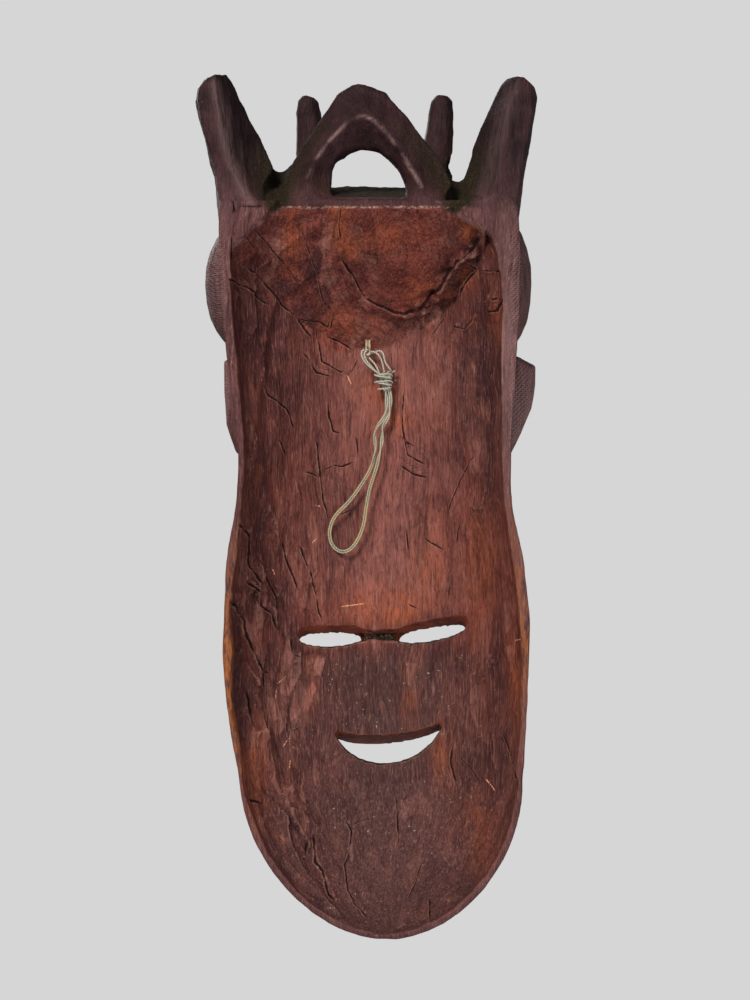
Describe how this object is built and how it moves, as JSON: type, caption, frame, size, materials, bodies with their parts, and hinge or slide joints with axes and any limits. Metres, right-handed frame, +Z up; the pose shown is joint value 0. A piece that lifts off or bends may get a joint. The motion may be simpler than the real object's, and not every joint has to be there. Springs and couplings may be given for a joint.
{
  "type": "carved wooden wall mask",
  "caption": "Long hollow-backed carved wooden mask with four horns and an arched crest, eye and mouth slots, and a knotted cord loop on a wire staple.",
  "frame": {"origin": "on the flat back at mid width, on the band of wood between the hollow and the opening in the crest, where the mask lies against a wall", "axes": "+Z up the mask, -Y out of its face, +Y out of its hollow back, +X to the mask's own left"},
  "size_m": [0.1998, 0.0884, 0.5015],
  "materials": {
    "carved_wood": "carved hardwood with a dark red-brown stain, chiselled and dull in the hollow, rubbed to a low sheen outside",
    "staple_wire": "dull, dusty wire",
    "hanging_cord": "thin twisted string, grey-beige and dusty"
  },
  "bodies": {
    "mask": {"mask_body": "carved_wood", "hanging_staple": "staple_wire"},
    "cord": {"cord_bridle": "hanging_cord", "cord_knot": "hanging_cord", "cord_loop": "hanging_cord"}
  },
  "joints": [
    {"name": "cord_swing", "type": "hinge", "parent": "mask", "child": "cord", "pos_m": [0.0002, -0.05725, -0.08499], "axis": [1, 0, 0], "range_deg": [0, 135]}
  ]
}
